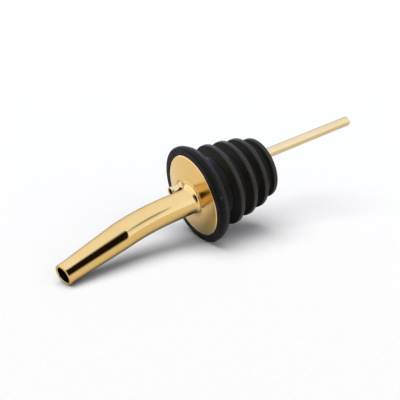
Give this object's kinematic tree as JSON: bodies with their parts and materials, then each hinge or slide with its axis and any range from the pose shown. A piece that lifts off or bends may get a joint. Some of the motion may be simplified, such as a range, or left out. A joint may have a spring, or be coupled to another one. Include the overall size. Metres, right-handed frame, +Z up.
{
  "type": "liquor pour spout",
  "caption": "Free-flow bottle pourer: bent tapered metal spout and long straight breather tube through a domed disc, with a flanged, finned rubber cork that pulls off.",
  "frame": {"origin": "middle of the pourer's footprint, on the surface that it lies on", "axes": "+Z up from that surface; the cork's axis runs along +X towards the bottle end, seen from above; -Y is the side that the spout bends to"},
  "size_m": [0.1088, 0.0302, 0.0319],
  "materials": {
    "gold_plate": "mirror-polished pale gold plating",
    "braze": "polished and plated brazed seam",
    "sleeve_metal": "satin plating, hidden in the cork",
    "black_rubber": "matte moulded rubber"
  },
  "bodies": {
    "pourer": {"spout_tube": "gold_plate", "cap_disc": "gold_plate", "spout_braze": "braze", "breather_tube": "gold_plate", "breather_braze": "braze", "grip_sleeve": "sleeve_metal", "sleeve_braze": "braze"},
    "cork": {"rubber_cork": "black_rubber"}
  },
  "joints": [
    {"name": "cork_pull", "type": "slide", "parent": "pourer", "child": "cork", "axis": [0.9754, 0, 0.2205], "range_m": [0, 0.07]}
  ]
}
